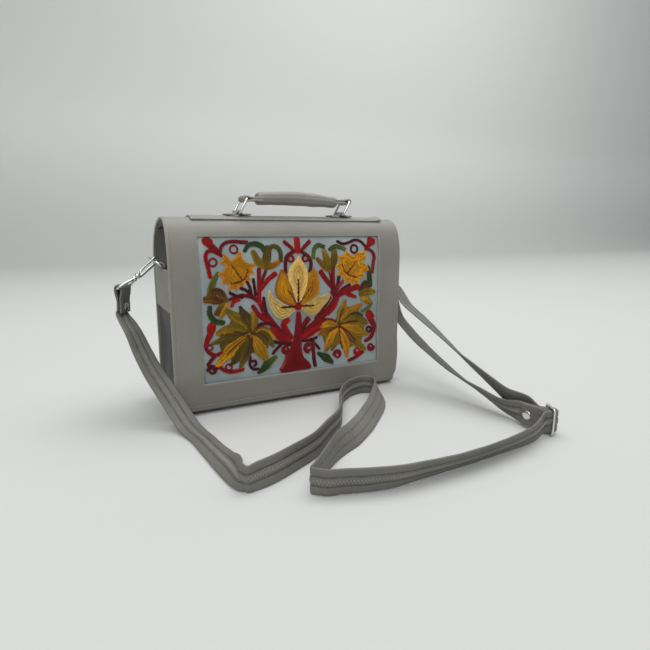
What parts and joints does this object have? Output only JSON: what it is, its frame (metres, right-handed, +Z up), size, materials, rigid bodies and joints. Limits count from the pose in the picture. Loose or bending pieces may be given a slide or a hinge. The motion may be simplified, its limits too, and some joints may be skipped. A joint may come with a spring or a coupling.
{
  "type": "satchel bag",
  "caption": "Leather flap satchel with an embroidered cloth panel set in the flap, a short top handle on metal rings and a long shoulder strap lying in front on two snap hooks.",
  "frame": {"origin": "centre of the underside of the bag's base, on the surface that the bag and the strap rest on", "axes": "+X along the bag's width, to the right when facing the flap; -Y out of the flap; +Z up"},
  "size_m": [0.3502, 0.294, 0.2215],
  "materials": {
    "leather": "soft grained leather, satin",
    "gusset": "thin soft leather, matte",
    "strap": "folded and stitched leather, satin",
    "cloth": "pale blue grey satin with coloured chain stitch",
    "metal": "polished nickel plate"
  },
  "bodies": {
    "bag": {"flap_and_back": "leather", "embroidered_panel": "cloth", "front_and_base": "leather", "gusset_left": "gusset", "gusset_tab_left": "leather", "d_ring_left": "metal", "snap_hook_left": "metal", "hook_eye_left": "metal", "gusset_right": "gusset", "gusset_tab_right": "leather", "d_ring_right": "metal", "snap_hook_right": "metal", "hook_eye_right": "metal", "shoulder_strap": "strap", "strap_rivet_hook": "metal", "strap_rivet_adjuster": "metal", "strap_adjuster": "metal", "top_strip": "leather", "ring_loop_left": "leather", "handle_ring_left": "metal", "ring_loop_right": "leather", "handle_ring_right": "metal", "handle_grip": "leather"},
    "gate_left": {"hook_gate_left": "metal"},
    "gate_right": {"hook_gate_right": "metal"}
  },
  "joints": [
    {"name": "hook_gate_left_hinge", "type": "hinge", "parent": "bag", "child": "gate_left", "pos_m": [-0.15067, -0.01724, 0.14374], "axis": [-0.6056, 0.672, 0.4263], "range_deg": [0, 13], "stiffness_Nm_per_rad": 0.1, "springref_deg": -17.19},
    {"name": "hook_gate_right_hinge", "type": "hinge", "parent": "bag", "child": "gate_right", "pos_m": [0.14137, -0.00591, 0.13143], "axis": [0.2791, 0.9505, -0.1368], "range_deg": [0, 13], "stiffness_Nm_per_rad": 0.1, "springref_deg": -17.19}
  ]
}
